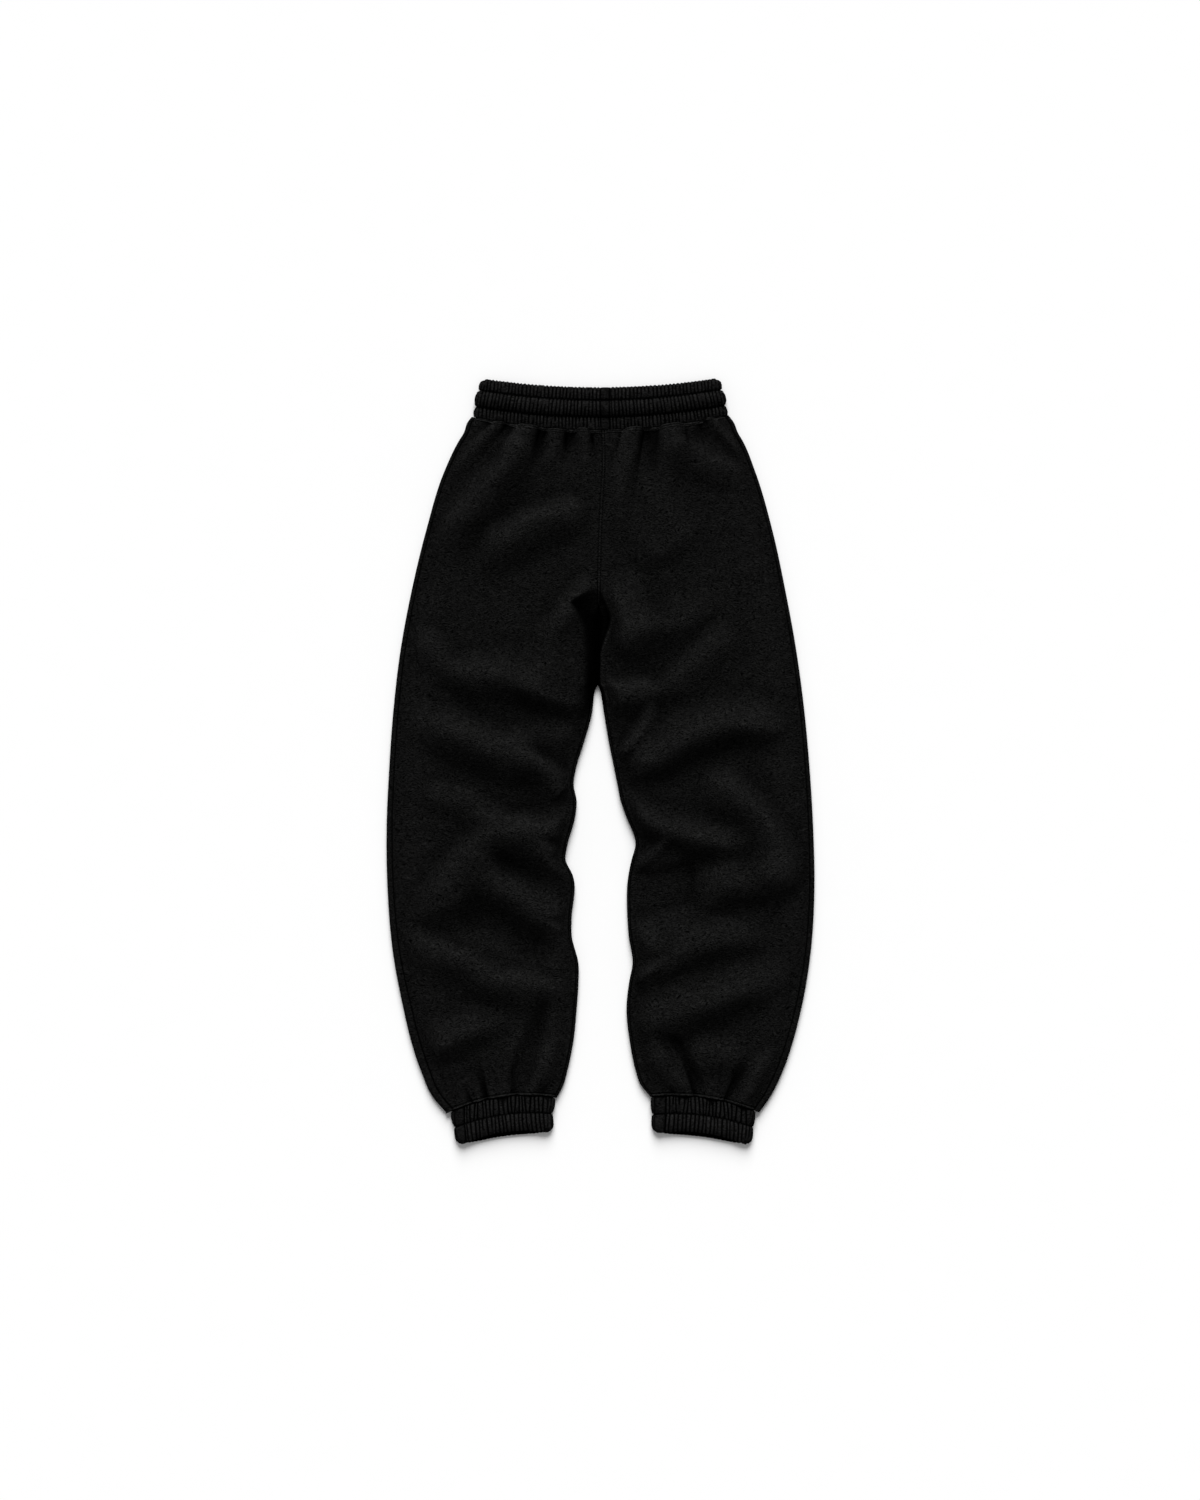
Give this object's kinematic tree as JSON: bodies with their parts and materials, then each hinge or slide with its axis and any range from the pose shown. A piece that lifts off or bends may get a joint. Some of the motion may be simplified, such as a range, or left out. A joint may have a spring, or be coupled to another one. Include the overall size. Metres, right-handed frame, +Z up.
{
  "type": "jogger sweatpants",
  "caption": "Pull-on jogger trousers of brushed fleece laid flat, front upwards, with a gathered elastic waistband, wide creased legs that taper and elastic cuffs.",
  "frame": {"origin": "centre of the garment's plan, on the surface that it lies on", "axes": "+Z up out of the front, +Y towards the waist, +X towards the wearer's left"},
  "size_m": [0.554, 0.9956, 0.0296],
  "materials": {
    "brushed_fleece": "matt black brushed cotton fleece with a short curly nap",
    "gathered_fleece": "the same fleece doubled and gathered over elastic, with stitched channels"
  },
  "bodies": {
    "root": {"waistband": "gathered_fleece", "front_right_leg": "brushed_fleece", "front_left_leg": "brushed_fleece", "back_right_leg": "brushed_fleece", "back_left_leg": "brushed_fleece", "right_cuff": "gathered_fleece", "left_cuff": "gathered_fleece"}
  },
  "joints": []
}
